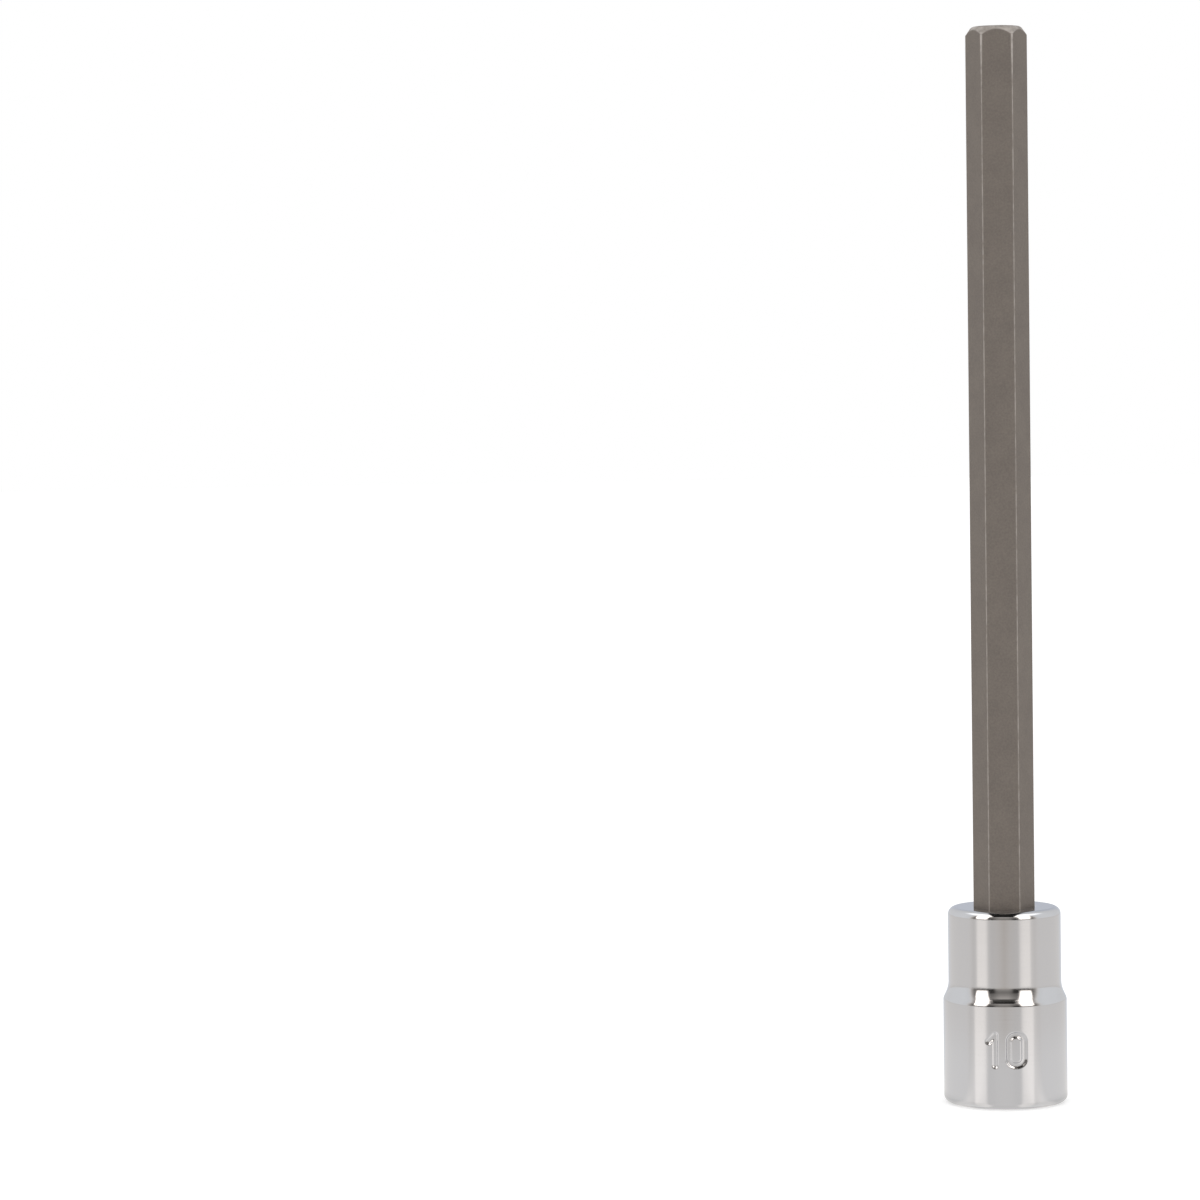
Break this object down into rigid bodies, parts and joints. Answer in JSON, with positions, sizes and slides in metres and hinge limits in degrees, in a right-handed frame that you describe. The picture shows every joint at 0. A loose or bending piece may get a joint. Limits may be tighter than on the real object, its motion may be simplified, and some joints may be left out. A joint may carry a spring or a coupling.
{
  "type": "hex bit socket",
  "caption": "Long hex bit socket: chromed body with a square drive recess, and a replaceable hex bit held in its collar by a spring ring. Drives hex socket screws in deep holes.",
  "frame": {"origin": "centre of the flat drive end that the tool stands on", "axes": "+Z along the tool, from the drive end to the tip of the hex bit; two flats of the bit face +Y and -Y, two flats of the square recess face +Y and -Y"},
  "size_m": [0.023, 0.023, 0.2],
  "materials": {
    "chrome_plated_steel": "polished chrome plate",
    "blasted_tool_steel": "matte, blasted and hardened, brown-grey",
    "spring_steel": "drawn spring wire, satin"
  },
  "bodies": {
    "body": {"socket_body": "chrome_plated_steel"},
    "bit": {"hex_bit": "blasted_tool_steel", "retaining_ring": "spring_steel"}
  },
  "joints": [
    {"name": "bit_draw", "type": "slide", "parent": "body", "child": "bit", "axis": [0, 0, 1], "range_m": [0, 0.018], "deforming": ["retaining_ring"]}
  ]
}
